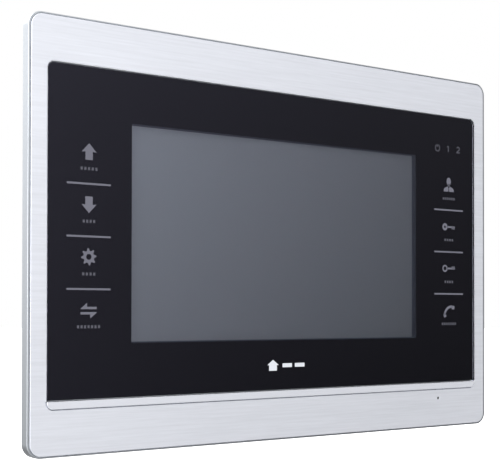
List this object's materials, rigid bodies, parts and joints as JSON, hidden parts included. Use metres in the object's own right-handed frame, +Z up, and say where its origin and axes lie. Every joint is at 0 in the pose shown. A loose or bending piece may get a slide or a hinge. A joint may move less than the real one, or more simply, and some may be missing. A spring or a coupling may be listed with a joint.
{
  "type": "video intercom monitor",
  "caption": "Wall-hung door intercom monitor: wide brushed metal front, black touch glass over a 7-inch screen with side keys, thin rear case on a steel bracket.",
  "frame": {"origin": "middle of the wall bracket's back face, on the wall, at the middle of the monitor's face in height and width", "axes": "+X to the viewer's right along the long side, +Y into the wall, +Z up; the front faces -Y"},
  "size_m": [0.2482, 0.026, 0.1684],
  "materials": {
    "brushed_face": "fine horizontal brushing, clear anodised",
    "silver_frame": "satin silver paint",
    "glass": "clear, polished",
    "black_print": "black ink on film",
    "screen": "unlit screen, soft sheen",
    "white_plastic": "satin moulded plastic",
    "zinc_steel": "zinc plated",
    "housing": "fine moulded grain",
    "board": "solder mask over glass fibre",
    "chip": "moulded epoxy",
    "tin_plate": "tin plated",
    "film": "polyimide film",
    "rubber": "soft rubber",
    "foam": "closed-cell foam",
    "paper_cone": "pressed paper",
    "ferrite": "sintered, matte",
    "wire": "PVC sleeve",
    "relay": "moulded cover",
    "label": "blank matt foil"
  },
  "bodies": {
    "wall_bracket": {"bracket_plate": "zinc_steel"},
    "power_switch": {"power_switch_knob": "chip"},
    "speaker_cone": {"speaker_cone": "paper_cone"},
    "monitor": {"board_screw_1": "zinc_steel", "board_screw_2": "zinc_steel", "board_screw_3": "zinc_steel", "board_screw_4": "zinc_steel", "capacitor_1": "tin_plate", "capacitor_2": "tin_plate", "case_screw_1": "zinc_steel", "case_screw_2": "zinc_steel", "case_screw_3": "zinc_steel", "case_screw_4": "zinc_steel", "case_screw_5": "zinc_steel", "case_screw_6": "zinc_steel", "diffuser_left": "white_plastic", "diffuser_right": "white_plastic", "door_header_1": "white_plastic", "door_header_2": "white_plastic", "door_relay": "relay", "face_plate": "brushed_face", "flash_memory": "chip", "front_frame": "silver_frame", "intercom_header": "white_plastic", "key_board_left": "board", "key_board_right": "board", "key_ribbon_left": "film", "key_ribbon_right": "film", "lcd_backlight": "white_plastic", "lcd_bezel": "tin_plate", "lcd_cell": "screen", "lcd_flex": "film", "lcd_gasket": "foam", "main_board": "board", "mask_film": "black_print", "microphone": "tin_plate", "microphone_boot": "rubber", "microphone_lead": "wire", "power_header": "white_plastic", "power_inductor": "ferrite", "power_switch_body": "tin_plate", "processor": "chip", "radio_shield": "tin_plate", "rating_label": "label", "rear_housing": "housing", "screen_strap_left": "zinc_steel", "screen_strap_right": "zinc_steel", "speaker_basket": "tin_plate", "speaker_gasket": "foam", "speaker_lead": "wire", "speaker_magnet": "ferrite", "strap_screw_1": "zinc_steel", "strap_screw_2": "zinc_steel", "strap_screw_3": "zinc_steel", "strap_screw_4": "zinc_steel", "switch_lead": "wire", "touch_glass": "glass", "trim_bar": "brushed_face", "video_decoder": "chip"}
  },
  "joints": [
    {"name": "monitor_lift", "type": "slide", "parent": "wall_bracket", "child": "monitor", "axis": [0, 0, 1], "range_m": [0, 0.0065]},
    {"name": "power_switch_slide", "type": "slide", "parent": "monitor", "child": "power_switch", "axis": [1, 0, 0], "range_m": [0, 0.003]},
    {"name": "speaker_cone_travel", "type": "slide", "parent": "monitor", "child": "speaker_cone", "axis": [0, 1, 0], "range_m": [-0.0005, 0.0005], "stiffness_N_per_m": 3500}
  ]
}
